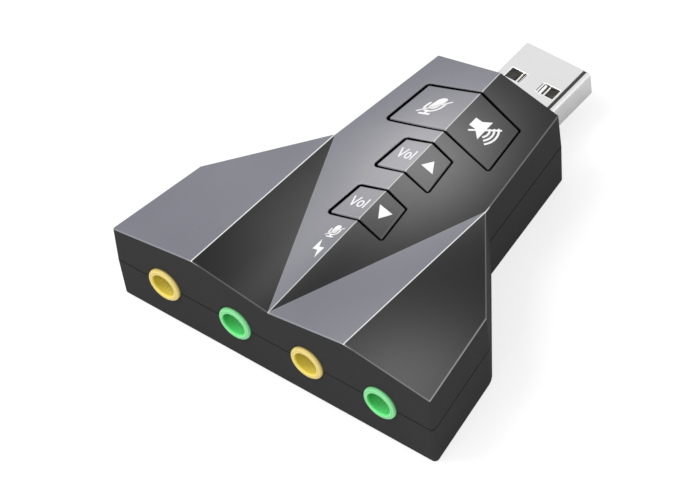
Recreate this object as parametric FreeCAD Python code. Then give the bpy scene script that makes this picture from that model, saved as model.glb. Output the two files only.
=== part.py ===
"""A faceted pocket USB sound card: case, keys, plug, jacks and circuit board.

X runs across the case, Y from the jack side to the plug, Z up. Places along Y are
measured from the outer face of the jack wall, and everything is moved at the end so
that the origin is under the middle of the whole object.
"""
import FreeCAD, Part
import math
import os

# Case, in plan: half widths and where they lie
TAIL_HALF = 29.0
WING_HALF = 26.2
WING_Y = 16.6
SHOULDER_HALF = 13.8
SHOULDER_Y = 32.7
NOSE_HALF = 11.1
NOSE_Y = 53.8
NOSE_POINT = 0.9

# Case, in height
PARTING_Z = 7.3
EDGE_Z = 13.7
WING_RIDGE_X = 13.9
WING_RIDGE_Z = 16.0
VALLEY_Z = 13.8
NOSE_RIDGE_Z = 15.6

# Case walls and edges
WALL = 1.6
FLOOR = 1.5
ROOF = 1.5
CORNER_R = 0.7
WING_CORNER_R = 4.0
CORNER_TOP_R = 0.35
DRAFT_DEG = 1.75
BOTTOM_EDGE_R = 0.35
SEAM_GAP = 0.2
TONGUE_WALL = 0.8
TONGUE_HEIGHT = 1.2
FIT = 0.1
PRESS_FIT = 0.03

# Posts that clamp the board and pin the two covers together
POST_R = 2.1
POST_PIN_R = 0.9
POST_PIN_LENGTH = 3.0
POST_FRONT_Y = 7.5
POST_BACK_X = 9.0
POST_BACK_Y = 33.5

# USB plug
PLUG_WIDTH = 12.0
PLUG_HEIGHT = 4.5
PLUG_SHEET = 0.3
PLUG_CORNER_R = 0.6
PLUG_REACH = 13.3
PLUG_LENGTH = 18.7
PLUG_Z = 5.1
PLUG_TONGUE = 1.95
PLUG_TONGUE_SETBACK = 0.4
PLUG_BLOCK_LENGTH = 6.0
WINDOW_WIDTH = 2.8
WINDOW_LENGTH = 2.1
WINDOW_X = 3.05
WINDOW_FROM_TIP = 6.4
PLUG_LEG_WIDTH = 1.4
PLUG_LEG_REACH = 1.5
CONTACT_WIDTH = 1.0
CONTACT_SHEET = 0.25
CONTACT_INNER_X = 1.0
CONTACT_OUTER_X = 3.5
CONTACT_OUTER_SETBACK = 1.3
CONTACT_INNER_SETBACK = 2.3
CONTACT_TAIL = 1.4

# Circuit board
BOARD_THICKNESS = 1.2
BOARD_CLEARANCE = 0.3
LEG_BELOW_BOARD = 0.8
LEG_HOLE_R = 0.55

# Jacks
JACK_PITCH = 13.2
JACK_BODY_WIDTH = 7.0
JACK_BODY_HEIGHT = 4.8
JACK_BODY_LENGTH = 13.5
JACK_NOSE_R = 2.85
JACK_NOSE_PROUD = 0.7
JACK_NOSE_EDGE_R = 0.45
JACK_BORE_R = 1.8
JACK_RIM = 0.25
JACK_BACK_WALL = 0.8
SPRING_SHEET = 0.3
SPRING_HEIGHT = 1.4
SPRING_LENGTH = 2.2
SPRING_GAP = 0.05
SPRING_FRONT_Y = 3.4
SPRING_STEP_Y = 2.9
LEG_WIDTH = 0.8

# Keys: each is a chevron whose middle stands back from its sides by its sweep
KEY_GAP = 0.42
KEY_CORNER_R = 0.15
KEY_THICKNESS = 2.2
KEY_FOOT = 0.4
KEY_FOOT_R = 1.2
KEY_FLANGE = 0.8
KEY_FLANGE_THICKNESS = 0.8
KEY_TRAVEL = 0.3
MUTE_FRONT_Y = 41.1
MUTE_BACK_Y = 50.0
MUTE_FRONT_HALF = 9.42
MUTE_BACK_HALF = 8.42
MUTE_SWEEP = 2.0
MUTE_TILT_DEG = 2.0
MUTE_SWITCH_X = 6.0
VOLUME_LENGTH = 6.75
VOLUME_FRONT_HALF = 4.95
VOLUME_BACK_HALF = 4.25
VOLUME_SWEEP = 1.0
VOLUME_UP_Y = 31.6
VOLUME_DOWN_Y = 20.75
PIVOT_R = 0.6
PIVOT_FIT = 0.05
PIVOT_BELOW_EDGE = 0.8
PIVOT_SPINE_HALF = 1.2
BRACKET_HALF = 1.5
BRACKET_THICKNESS = 1.0

# Push switches
SWITCH_SIDE = 6.0
SWITCH_BASE_HEIGHT = 2.8
PLUNGER_R = 1.7
PLUNGER_DEPTH = 1.0
TERMINAL_SHEET = 0.3
TERMINAL_WIDTH = 0.7
TERMINAL_HEIGHT = 1.2
TERMINAL_Y = 2.25

# Lamps and the light guide under the two small signs
LAMP_X = -1.45
MUTE_LAMP_Y = 17.2
POWER_LAMP_Y = 13.4
LAMP_LENGTH = 2.0
LAMP_WIDTH = 1.25
LAMP_HEIGHT = 0.8
GUIDE_R = 0.9
GUIDE_WEB = 1.0
GUIDE_BELOW_ROOF = 1.4
LAMP_SKIN = 0.5

# Parts on the board
CHIP_SIDE = 7.0
CHIP_HEIGHT = 1.4
CHIP_STANDOFF = 0.1
CHIP_X = 10.2
LEADS_PER_SIDE = 12
LEAD_PITCH = 0.5
LEAD_WIDTH = 0.22
LEAD_SHEET = 0.15
LEAD_REACH = 1.0
CRYSTAL_LENGTH = 5.0
CRYSTAL_WIDTH = 3.2
CRYSTAL_HEIGHT = 1.2
CRYSTAL_X = 9.5
CAN_R = 2.0
CAN_HEIGHT = 4.6
CAN_BASE_SIDE = 4.3
CAN_BASE_HEIGHT = 0.8
CAN_X = 10.2
CAN_PITCH = 5.0
CHIP_PART_LENGTH = 1.6
CHIP_PART_WIDTH = 0.8
RESISTOR_HEIGHT = 0.45
CAPACITOR_HEIGHT = 0.8
CHIP_PART_PITCH = 2.0
CHIP_PARTS_IN_ROW = 5
CHIP_ROW_X = 17.6

# Levels and places that follow from the values above
LEAN = math.tan(math.radians(DRAFT_DEG))
PLUG_TIP_Y = NOSE_Y + NOSE_POINT + PLUG_REACH
PLUG_REAR_Y = PLUG_TIP_Y - PLUG_LENGTH
BOARD_TOP = PLUG_Z - PLUG_HEIGHT / 2 + PLUG_SHEET + PLUG_TONGUE
BOARD_BOTTOM = BOARD_TOP - BOARD_THICKNESS
LEG_TIP = BOARD_BOTTOM - LEG_BELOW_BOARD
JACK_Z = BOARD_TOP + JACK_BODY_HEIGHT / 2
JACK_FACE_Y = WALL + FIT
JACK_BACK_Y = JACK_FACE_Y + JACK_BODY_LENGTH
PLUNGER_TOP = EDGE_Z - KEY_THICKNESS - KEY_FOOT
SWITCH_TOP = BOARD_TOP + SWITCH_BASE_HEIGHT
PIVOT_Z = EDGE_Z - PIVOT_BELOW_EDGE
ABOVE = 2 * WING_RIDGE_Z
MIDDLE_Y = (PLUG_TIP_Y - JACK_NOSE_PROUD) / 2
JACK_XS = [JACK_PITCH * (index - 1.5) for index in range(4)]
POSTS = [(side * x, y) for side in (-1, 1) for x, y in
         ((JACK_PITCH, POST_FRONT_Y), (POST_BACK_X, POST_BACK_Y))]

# The chip parts, the chip and the crystal share the room from the jacks to the back posts
CHIP_SPAN = CHIP_SIDE + 2 * LEAD_REACH
ROOM = POST_BACK_Y - POST_R - JACK_BACK_Y
BOARD_PART_GAP = (ROOM - CHIP_PART_LENGTH - CHIP_SPAN - CRYSTAL_WIDTH) / 4
CHIP_ROW_Y = JACK_BACK_Y + BOARD_PART_GAP + CHIP_PART_LENGTH / 2
CHIP_Y = CHIP_ROW_Y + CHIP_PART_LENGTH / 2 + BOARD_PART_GAP + CHIP_SPAN / 2
CRYSTAL_Y = CHIP_Y + CHIP_SPAN / 2 + BOARD_PART_GAP + CRYSTAL_WIDTH / 2


def vector(x, y, z):
    return FreeCAD.Vector(x, y, z)


def box(x0, x1, y0, y1, z0, z1):
    return Part.makeBox(x1 - x0, y1 - y0, z1 - z0, vector(x0, y0, z0))


def post(x, y, z0, z1, radius):
    return Part.makeCylinder(radius, z1 - z0, vector(x, y, z0))


def bar(x, z, y0, y1, radius):
    """A round bar along Y."""
    return Part.makeCylinder(radius, y1 - y0, vector(x, y0, z), vector(0, 1, 0))


def rounded_bar(width, height, z, y0, y1, radius):
    """A bar along Y, of a rectangle with rounded corners."""
    block = box(-width / 2, width / 2, y0, y1, z - height / 2, z + height / 2)
    along = [edge for edge in block.Edges if abs(edge.tangentAt(0).y) > 0.9]
    return block.makeFillet(radius, along)


def moved_in(points, inset):
    """The polygon (counter-clockwise) with each side moved inwards by the inset."""
    count = len(points)
    sides = []
    for index in range(count):
        start = points[index]
        end = points[(index + 1) % count]
        length = math.dist(start, end)
        along = ((end[0] - start[0]) / length, (end[1] - start[1]) / length)
        sides.append(((start[0] - along[1] * inset, start[1] + along[0] * inset), along))
    corners = []
    for index in range(count):
        (x0, y0), (dx0, dy0) = sides[index - 1]
        (x1, y1), (dx1, dy1) = sides[index]
        step = ((x1 - x0) * dy1 - (y1 - y0) * dx1) / (dx0 * dy1 - dy0 * dx1)
        corners.append((x0 + dx0 * step, y0 + dy0 * step))
    return corners


def rounded_wire(points, z, radii):
    """The polygon at a height, each corner rounded by its own radius, or left sharp by none."""
    count = len(points)
    stations = []
    for index, radius in enumerate(radii):
        here = vector(*points[index], z)
        back = (vector(*points[index - 1], z) - here).normalize()
        ahead = (vector(*points[(index + 1) % count], z) - here).normalize()
        if radius:
            half_angle = back.getAngle(ahead) / 2
            reach = radius / math.tan(half_angle)
            to_middle = (back + ahead).normalize()
            middle = here + to_middle * (radius / math.sin(half_angle) - radius)
            stations.append((here + back * reach, middle, here + ahead * reach))
        else:
            stations.append((here, None, here))
    edges = []
    for index in range(count):
        start, middle, end = stations[index]
        if middle:
            edges.append(Part.Arc(start, middle, end).toShape())
        edges.append(Part.makeLine(end, stations[(index + 1) % count][0]))
    return Part.Wire(edges)


def prism(points, z0, z1, radii=None):
    """The polygon raised from z0 to z1, with sharp corners or its own radius at each."""
    wire = rounded_wire(points, z0, radii or [0.0] * len(points))
    return Part.Face(wire).extrude(vector(0, 0, z1 - z0))


def outline(inset=0.0):
    """The case in plan, from the left end of the jack wall round to the left wing."""
    right = [(TAIL_HALF, 0.0), (WING_HALF, WING_Y), (SHOULDER_HALF, SHOULDER_Y), (NOSE_HALF, NOSE_Y)]
    left = [(-x, y) for x, y in reversed(right)]
    return moved_in(right + [(0.0, NOSE_Y + NOSE_POINT)] + left, inset)


def outline_radii():
    """How round the corners of that plan are at the parting line; the shoulders are sharp."""
    right = [CORNER_R, WING_CORNER_R, 0.0, CORNER_R]
    return right + [0.0] + right[::-1]


def faceted_block(drop, base_z):
    """The case's outer form, its roof lowered by the drop and its base at base_z.

    Each wing has a ridge that falls to the shoulder, and the spine has a ridge that
    rises to the nose. The outer wing facets and the spine's facets twist slightly.
    The walls lean out towards the base, so the ends of the ridges stand back a little.
    """
    edge_z = EDGE_Z - drop
    plan = outline()
    tail_r, wing_r, shoulder_r, nose_r = [vector(x, y, edge_z) for x, y in plan[:4]]
    tip = vector(*outline(LEAN * (NOSE_RIDGE_Z - EDGE_Z))[4], NOSE_RIDGE_Z - drop)
    nose_l, shoulder_l, wing_l, tail_l = [vector(x, y, edge_z) for x, y in plan[5:]]
    ridge_y = LEAN * (WING_RIDGE_Z - EDGE_Z)
    ridge_r = vector(WING_RIDGE_X, ridge_y, WING_RIDGE_Z - drop)
    ridge_l = vector(-WING_RIDGE_X, ridge_y, WING_RIDGE_Z - drop)
    valley = vector(0, LEAN * (VALLEY_Z - EDGE_Z), VALLEY_Z - drop)
    feet = [vector(x, y, base_z) for x, y in outline(LEAN * (base_z - edge_z))]

    def flat(*corners):
        return Part.Face(Part.makePolygon(list(corners) + [corners[0]]))

    def twisted(a, b, c, d):
        return Part.makeRuledSurface(Part.makeLine(a, b), Part.makeLine(d, c))

    ring = [tail_r, wing_r, shoulder_r, nose_r, tip, nose_l, shoulder_l, wing_l, tail_l]
    faces = [flat(feet[index], feet[index + 1], ring[index + 1], ring[index])
             for index in range(len(ring) - 1)]
    faces.append(flat(feet[-1], feet[0], tail_r, ridge_r, valley, ridge_l, tail_l))
    faces.append(flat(*feet))
    faces.append(twisted(tail_l, ridge_l, shoulder_l, wing_l))
    faces.append(twisted(tail_r, ridge_r, shoulder_r, wing_r))
    faces.append(flat(ridge_l, valley, shoulder_l))
    faces.append(flat(ridge_r, valley, shoulder_r))
    faces.append(twisted(valley, tip, nose_l, shoulder_l))
    faces.append(twisted(valley, tip, nose_r, shoulder_r))
    shell = Part.makeShell(faces)
    shell.sewShape()
    block = Part.makeSolid(shell)
    block.fix(1e-4, 1e-4, 1e-4)
    return block


def under_roof(shape, drop):
    """What is left of an upright shape below the roof lowered by the drop."""
    return shape.common(faceted_block(drop, 0.0))


def plug_slot():
    grow = 2 * FIT
    return rounded_bar(PLUG_WIDTH + grow, PLUG_HEIGHT + grow, PLUG_Z, PLUG_REAR_Y,
                       PLUG_TIP_Y, PLUG_CORNER_R + FIT)


def jack_openings():
    """Round holes for the jack noses, and room for the housings behind them."""
    half = JACK_BODY_WIDTH / 2 + FIT
    back = JACK_BACK_Y + FIT
    shapes = []
    for x in JACK_XS:
        shapes.append(bar(x, JACK_Z, -JACK_NOSE_PROUD, JACK_FACE_Y, JACK_NOSE_R + FIT))
        shapes.append(box(x - half, x + half, WALL, back, BOARD_TOP, BOARD_TOP + JACK_BODY_HEIGHT + FIT))
    return shapes


def chevron(front_y, back_y, front_half, back_half, sweep, inset):
    """A key in plan: its middle stands back from its sides by the sweep."""
    points = [(0.0, front_y), (front_half, front_y - sweep), (back_half, back_y - sweep),
              (0.0, back_y), (-back_half, back_y - sweep), (-front_half, front_y - sweep)]
    return moved_in(points, inset)


def key_radii(radius):
    """The corners of a key's plan: its sides are rounded, its middle is sharp."""
    return [0.0, radius, radius] * 2


def mute_plan(inset):
    return chevron(MUTE_FRONT_Y, MUTE_BACK_Y, MUTE_FRONT_HALF, MUTE_BACK_HALF, MUTE_SWEEP, inset)


def volume_plan(front_y, inset):
    return chevron(front_y, front_y + VOLUME_LENGTH, VOLUME_FRONT_HALF, VOLUME_BACK_HALF,
                   VOLUME_SWEEP, inset)


def key_plans(inset):
    return [mute_plan(inset), volume_plan(VOLUME_UP_Y, inset), volume_plan(VOLUME_DOWN_Y, inset)]


def switch_places():
    mute_y = (MUTE_FRONT_Y + MUTE_BACK_Y - MUTE_SWEEP) / 2
    volume_middle = (VOLUME_LENGTH - VOLUME_SWEEP / 2) / 2
    return {"mic_mute": (-MUTE_SWITCH_X, mute_y),
            "speaker_mute": (MUTE_SWITCH_X, mute_y),
            "volume_up": (0.0, VOLUME_UP_Y + volume_middle),
            "volume_down": (0.0, VOLUME_DOWN_Y + volume_middle)}


def pivot_ends():
    """Where the mute key's pivots end, at the far faces of the ears that hold them."""
    front_slant = MUTE_SWEEP * BRACKET_HALF / MUTE_FRONT_HALF
    front = MUTE_FRONT_Y - KEY_GAP / 2 - front_slant - BRACKET_THICKNESS
    return front, MUTE_BACK_Y + KEY_GAP / 2 + BRACKET_THICKNESS


def pivot_brackets():
    """Two ears under the roof, open below, that the mute key's pivots snap into."""
    front, back = pivot_ends()
    ears = []
    for y in (front, back - BRACKET_THICKNESS):
        ear = box(-BRACKET_HALF, BRACKET_HALF, y, y + BRACKET_THICKNESS, PIVOT_Z - 2 * PIVOT_R, ABOVE)
        ear = under_roof(ear, ROOF / 2)
        ear = ear.cut(bar(0, PIVOT_Z, y, y + BRACKET_THICKNESS, PIVOT_R + PIVOT_FIT))
        mouth = 0.8 * PIVOT_R
        ears.append(ear.cut(box(-mouth, mouth, y, y + BRACKET_THICKNESS, 0, PIVOT_Z)))
    return ears


def guide_places():
    return [(LAMP_X, POWER_LAMP_Y), (LAMP_X, MUTE_LAMP_Y)]


def top_cover():
    base = PARTING_Z + SEAM_GAP
    block = faceted_block(0.0, base)
    for (x, y), radius in zip(outline(), outline_radii()):
        if radius:
            block = round_upright(block, x, y, radius)
    cavity = faceted_block(ROOF, 0.0).common(prism(outline(WALL), 0.0, ABOVE))
    rebate = prism(outline(WALL - TONGUE_WALL - FIT), 0.0, PARTING_Z + TONGUE_HEIGHT + FIT)
    cover = block.cut(cavity).cut(rebate)
    holes = [prism(plan, EDGE_Z / 2, ABOVE, key_radii(KEY_CORNER_R + KEY_GAP / 2))
             for plan in key_plans(-KEY_GAP / 2)]
    pockets = [under_roof(post(x, y, 0.0, ABOVE, GUIDE_R + FIT), LAMP_SKIN) for x, y in guide_places()]
    cover = cover.cut(holes + pockets)
    tubes = []
    for x, y in POSTS:
        tube = under_roof(post(x, y, BOARD_TOP, ABOVE, POST_R), ROOF / 2)
        hole_top = BOARD_TOP + POST_PIN_LENGTH + FIT
        tubes.append(tube.cut(post(x, y, BOARD_TOP, hole_top, POST_PIN_R + PRESS_FIT)))
    cover = cover.fuse(tubes + pivot_brackets())
    return cover.cut(jack_openings() + [plug_slot()])


def round_upright(block, x, y, radius):
    """Round the wall edge under a corner of the roof: wide at the parting line, tight at the roof."""
    top = vector(x, y, EDGE_Z)
    for edge in block.Edges:
        ends = sorted([vertex.Point for vertex in edge.Vertexes], key=lambda end: end.z)
        if ends[-1].distanceToPoint(top) < 1e-3 and ends[0].z < EDGE_Z - 1e-3:
            low_first = edge.valueAt(edge.FirstParameter).z < edge.valueAt(edge.LastParameter).z
            radii = (radius, CORNER_TOP_R) if low_first else (CORNER_TOP_R, radius)
            return block.makeFillet(*radii, [edge])
    return block


def bottom_cover():
    widest = LEAN * (PARTING_Z - EDGE_Z)
    top = rounded_wire(outline(widest), PARTING_Z, outline_radii())
    base = rounded_wire(outline(widest + LEAN * PARTING_Z), 0.0, outline_radii())
    tray = Part.makeLoft([base, top], True, True)
    rim = [edge for edge in tray.Edges if edge.BoundBox.ZMax < 1e-3]
    tray = tray.makeFillet(BOTTOM_EDGE_R, rim)
    tongue = prism(outline(WALL - TONGUE_WALL), FLOOR, PARTING_Z + TONGUE_HEIGHT)
    tray = tray.fuse(tongue).cut(prism(outline(WALL), FLOOR, ABOVE))
    posts = []
    for x, y in POSTS:
        posts.append(post(x, y, FLOOR, BOARD_BOTTOM, POST_R))
        posts.append(post(x, y, BOARD_BOTTOM, BOARD_TOP + POST_PIN_LENGTH, POST_PIN_R))
    tray = tray.cut(jack_openings() + [plug_slot()])
    return tray.fuse(posts).removeSplitter()


def key_cap(plan):
    """The cap of a key: a thick slice of the roof, flush with it all round."""
    slice_of_roof = faceted_block(0.0, 0.0).cut(faceted_block(KEY_THICKNESS, 0.0))
    return prism(plan, 0.0, ABOVE, key_radii(KEY_CORNER_R)).common(slice_of_roof)


def key_foot(x, y, tip_z):
    return under_roof(post(x, y, tip_z, ABOVE, KEY_FOOT_R), KEY_THICKNESS / 2)


def mute_key():
    """One rocking cap over two switches, on two pivots in line with the ridge."""
    cap = key_cap(mute_plan(KEY_GAP / 2))
    front = MUTE_FRONT_Y + KEY_GAP / 2
    back = MUTE_BACK_Y - KEY_GAP / 2
    low = PIVOT_Z - 1.5 * PIVOT_R
    spine = box(-PIVOT_SPINE_HALF, PIVOT_SPINE_HALF, front, back - MUTE_SWEEP / 2, low, ABOVE)
    spine = under_roof(spine, KEY_THICKNESS / 2)
    pivots = bar(0, PIVOT_Z, *pivot_ends(), PIVOT_R)
    swing = math.sin(math.radians(MUTE_TILT_DEG)) * (MUTE_SWITCH_X + KEY_FOOT_R)
    feet = [key_foot(*switch_places()[name], PLUNGER_TOP + swing + PIVOT_FIT)
            for name in ("mic_mute", "speaker_mute")]
    return cap.fuse([spine, pivots] + feet).removeSplitter()


def volume_key(front_y, place):
    """A cap that slides straight down, kept in by a flange under the roof."""
    cap = key_cap(volume_plan(front_y, KEY_GAP / 2))
    flange_top = ROOF + FIT
    flange = prism(volume_plan(front_y, KEY_GAP / 2 - KEY_FLANGE), 0.0, ABOVE,
                   key_radii(KEY_CORNER_R + KEY_FLANGE))
    flange = flange.common(faceted_block(flange_top, 0.0))
    flange = flange.cut(faceted_block(flange_top + KEY_FLANGE_THICKNESS, 0.0))
    return cap.fuse([flange, key_foot(*place, PLUNGER_TOP)]).removeSplitter()


def switch_base(x, y):
    half = SWITCH_SIDE / 2
    base = box(x - half, x + half, y - half, y + half, BOARD_TOP, SWITCH_TOP)
    room = SWITCH_TOP - PLUNGER_DEPTH - KEY_TRAVEL - FIT
    return base.cut(post(x, y, room, SWITCH_TOP, PLUNGER_R + FIT))


def switch_plunger(x, y):
    return post(x, y, SWITCH_TOP - PLUNGER_DEPTH, PLUNGER_TOP, PLUNGER_R)


def terminal_places():
    reach = SWITCH_SIDE / 2 + TERMINAL_SHEET / 2
    return [(x + dx, y + dy) for x, y in switch_places().values()
            for dx in (-reach, reach) for dy in (-TERMINAL_Y, TERMINAL_Y)]


def switch_terminals():
    half = TERMINAL_SHEET / 2
    width = TERMINAL_WIDTH / 2
    return [box(x - half, x + half, y - width, y + width, LEG_TIP, BOARD_TOP + TERMINAL_HEIGHT)
            for x, y in terminal_places()]


def spring_places(x):
    """The three springs of a jack, on alternate sides of its bore."""
    reach = JACK_BORE_R + SPRING_GAP + SPRING_SHEET / 2
    return [(x + side * reach, SPRING_FRONT_Y + SPRING_STEP_Y * index, side)
            for index, side in enumerate((1, -1, 1))]


def jack_housing(x):
    """A moulded housing with a round nose and a blind bore for a 3.5 mm plug."""
    half = JACK_BODY_WIDTH / 2
    tip = -JACK_NOSE_PROUD
    body = box(x - half, x + half, JACK_FACE_Y, JACK_BACK_Y, BOARD_TOP, BOARD_TOP + JACK_BODY_HEIGHT)
    nose = bar(x, JACK_Z, tip, JACK_FACE_Y, JACK_NOSE_R)
    rim = [edge for edge in nose.Edges if edge.BoundBox.YMax < tip + 1e-3]
    nose = nose.makeFillet(JACK_NOSE_EDGE_R, rim)
    bore = bar(x, JACK_Z, tip, JACK_BACK_Y - JACK_BACK_WALL, JACK_BORE_R)
    mouth = Part.makeCone(JACK_BORE_R + JACK_RIM, JACK_BORE_R, JACK_RIM,
                          vector(x, tip, JACK_Z), vector(0, 1, 0))
    slots = []
    for spring_x, y, side in spring_places(x):
        inner = x + side * (JACK_BORE_R - SPRING_SHEET)
        outer = spring_x + side * (SPRING_SHEET / 2 + FIT)
        slots.append(box(min(inner, outer), max(inner, outer), y - FIT, y + SPRING_LENGTH + FIT,
                         BOARD_TOP, JACK_Z + SPRING_HEIGHT / 2 + FIT))
    return body.fuse(nose).cut([bore, mouth] + slots)


def jack_springs(x):
    """Three contact springs, each with a leg down through the board."""
    half = SPRING_SHEET / 2
    springs = []
    for spring_x, y, side in spring_places(x):
        blade = box(spring_x - half, spring_x + half, y, y + SPRING_LENGTH,
                    JACK_Z - SPRING_HEIGHT / 2, JACK_Z + SPRING_HEIGHT / 2)
        middle = y + SPRING_LENGTH / 2
        leg = box(spring_x - half, spring_x + half, middle - LEG_WIDTH / 2, middle + LEG_WIDTH / 2,
                  LEG_TIP, JACK_Z)
        springs.append(blade.fuse(leg).removeSplitter())
    return springs


def plug_shell():
    """A steel sheet folded to a box, with spring windows and two legs in the board."""
    shell = rounded_bar(PLUG_WIDTH, PLUG_HEIGHT, PLUG_Z, PLUG_REAR_Y, PLUG_TIP_Y, PLUG_CORNER_R)
    fold = 2 * PLUG_SHEET
    hollow = rounded_bar(PLUG_WIDTH - fold, PLUG_HEIGHT - fold, PLUG_Z, PLUG_REAR_Y, PLUG_TIP_Y,
                         PLUG_CORNER_R - PLUG_SHEET)
    window_y = PLUG_TIP_Y - WINDOW_FROM_TIP
    windows = [box(x - WINDOW_WIDTH / 2, x + WINDOW_WIDTH / 2, window_y - WINDOW_LENGTH / 2,
                   window_y + WINDOW_LENGTH / 2, 0, ABOVE) for x in (-WINDOW_X, WINDOW_X)]
    shell = shell.cut([hollow] + windows)
    legs = []
    for side in (-1, 1):
        y0, y1 = plug_leg_span()
        inner = side * (PLUG_WIDTH / 2 - PLUG_SHEET)
        outer = side * (PLUG_WIDTH / 2 + PLUG_LEG_REACH)
        bend = outer - side * PLUG_SHEET
        legs.append(box(min(inner, outer), max(inner, outer), y0, y1, BOARD_TOP, BOARD_TOP + PLUG_SHEET))
        legs.append(box(min(bend, outer), max(bend, outer), y0, y1, LEG_TIP, BOARD_TOP + PLUG_SHEET))
    return shell.fuse(legs).cut(plug_insulator_bar()).removeSplitter()


def plug_leg_span():
    start = PLUG_REAR_Y + PLUG_SHEET
    return start, start + PLUG_LEG_WIDTH


def plug_insulator_bar():
    fold = 2 * PLUG_SHEET
    return rounded_bar(PLUG_WIDTH - fold, PLUG_HEIGHT - fold, PLUG_Z, PLUG_REAR_Y,
                       PLUG_TIP_Y - PLUG_TONGUE_SETBACK, PLUG_CORNER_R - PLUG_SHEET)


def plug_insulator():
    """A block at the back of the plug, and the tongue that carries the contacts."""
    clear = box(-PLUG_WIDTH, PLUG_WIDTH, PLUG_REAR_Y + PLUG_BLOCK_LENGTH, PLUG_TIP_Y, BOARD_TOP, ABOVE)
    return plug_insulator_bar().cut([clear] + plug_contacts())


def plug_contacts():
    strips = []
    for x in (-CONTACT_OUTER_X, -CONTACT_INNER_X, CONTACT_INNER_X, CONTACT_OUTER_X):
        setback = CONTACT_OUTER_SETBACK if abs(x) == CONTACT_OUTER_X else CONTACT_INNER_SETBACK
        strips.append(box(x - CONTACT_WIDTH / 2, x + CONTACT_WIDTH / 2, PLUG_REAR_Y - CONTACT_TAIL,
                          PLUG_TIP_Y - setback, BOARD_TOP, BOARD_TOP + CONTACT_SHEET))
    return strips


def main_board():
    """The circuit board, notched round the plug and drilled for pins and legs."""
    board = prism(outline(WALL + BOARD_CLEARANCE), BOARD_BOTTOM, BOARD_TOP)
    notch = PLUG_WIDTH / 2 + BOARD_CLEARANCE
    cuts = [box(-notch, notch, PLUG_REAR_Y - BOARD_CLEARANCE, PLUG_TIP_Y, 0, ABOVE)]
    cuts += [post(x, y, 0, ABOVE, POST_PIN_R + FIT) for x, y in POSTS]
    legs = [(x, y + SPRING_LENGTH / 2) for jack_x in JACK_XS for x, y, side in spring_places(jack_x)]
    cuts += [post(x, y, 0, ABOVE, LEG_HOLE_R) for x, y in legs + terminal_places()]
    y0, y1 = plug_leg_span()
    for side in (-1, 1):
        outer = PLUG_WIDTH / 2 + PLUG_LEG_REACH + FIT
        inner = outer - PLUG_SHEET - 2 * FIT
        cuts.append(box(min(side * inner, side * outer), max(side * inner, side * outer),
                        y0 - FIT, y1 + FIT, 0, ABOVE))
    return board.cut(cuts)


def audio_chip():
    half = CHIP_SIDE / 2
    low = BOARD_TOP + CHIP_STANDOFF
    return box(CHIP_X - half, CHIP_X + half, CHIP_Y - half, CHIP_Y + half, low, low + CHIP_HEIGHT)


def audio_chip_leads():
    """Bent leads, one row along each side of the chip."""
    half = CHIP_SIDE / 2
    rise = BOARD_TOP + CHIP_STANDOFF + CHIP_HEIGHT / 2
    knee = half + LEAD_REACH / 3
    toe = half + LEAD_REACH
    profile = [(half, rise), (half, rise + LEAD_SHEET), (knee + LEAD_SHEET, rise + LEAD_SHEET),
               (knee + LEAD_SHEET, BOARD_TOP + LEAD_SHEET), (toe, BOARD_TOP + LEAD_SHEET),
               (toe, BOARD_TOP), (knee, BOARD_TOP), (knee, rise)]
    leads = []
    for index in range(LEADS_PER_SIDE):
        offset = (index - (LEADS_PER_SIDE - 1) / 2) * LEAD_PITCH - LEAD_WIDTH / 2
        corners = [vector(x, offset, z) for x, z in profile]
        lead = Part.Face(Part.makePolygon(corners + [corners[0]])).extrude(vector(0, LEAD_WIDTH, 0))
        for turn in range(4):
            turned = lead.copy()
            turned.rotate(vector(0, 0, 0), vector(0, 0, 1), 90 * turn)
            turned.translate(vector(CHIP_X, CHIP_Y, 0))
            leads.append(turned)
    return leads


def clock_crystal():
    x = CRYSTAL_LENGTH / 2
    y = CRYSTAL_WIDTH / 2
    can = box(CRYSTAL_X - x, CRYSTAL_X + x, CRYSTAL_Y - y, CRYSTAL_Y + y,
              BOARD_TOP, BOARD_TOP + CRYSTAL_HEIGHT)
    upright = [edge for edge in can.Edges if abs(edge.tangentAt(0).z) > 0.9]
    return can.makeFillet(CRYSTAL_HEIGHT / 2, upright)


def can_places():
    half = CAN_PITCH / 2
    return [(-CAN_X + dx, CHIP_Y + dy) for dx in (-half, half) for dy in (-half, half)]


def capacitor_bases():
    half = CAN_BASE_SIDE / 2
    return [box(x - half, x + half, y - half, y + half, BOARD_TOP, BOARD_TOP + CAN_BASE_HEIGHT)
            for x, y in can_places()]


def capacitor_cans():
    low = BOARD_TOP + CAN_BASE_HEIGHT
    return [post(x, y, low, low + CAN_HEIGHT, CAN_R) for x, y in can_places()]


def chip_row(side, height):
    """A row of small surface-mounted parts behind the jacks, from one side towards the middle."""
    length = CHIP_PART_LENGTH / 2
    width = CHIP_PART_WIDTH / 2
    xs = [side * (CHIP_ROW_X - CHIP_PART_PITCH * index) for index in range(CHIP_PARTS_IN_ROW)]
    return [box(x - width, x + width, CHIP_ROW_Y - length, CHIP_ROW_Y + length,
                BOARD_TOP, BOARD_TOP + height) for x in xs]


def lamp(y):
    x = LAMP_WIDTH / 2
    length = LAMP_LENGTH / 2
    return box(LAMP_X - x, LAMP_X + x, y - length, y + length, BOARD_TOP, BOARD_TOP + LAMP_HEIGHT)


def light_guide():
    """Two clear rods over the lamps, joined by a web under the roof."""
    rods = [under_roof(post(x, y, BOARD_TOP + LAMP_HEIGHT + FIT, ABOVE, GUIDE_R), LAMP_SKIN + FIT)
            for x, y in guide_places()]
    top = EDGE_Z - ROOF - GUIDE_BELOW_ROOF
    web = box(LAMP_X - GUIDE_R / 2, LAMP_X + GUIDE_R / 2, POWER_LAMP_Y, MUTE_LAMP_Y, top - GUIDE_WEB, top)
    return rods[0].fuse([rods[1], web]).removeSplitter()


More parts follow.
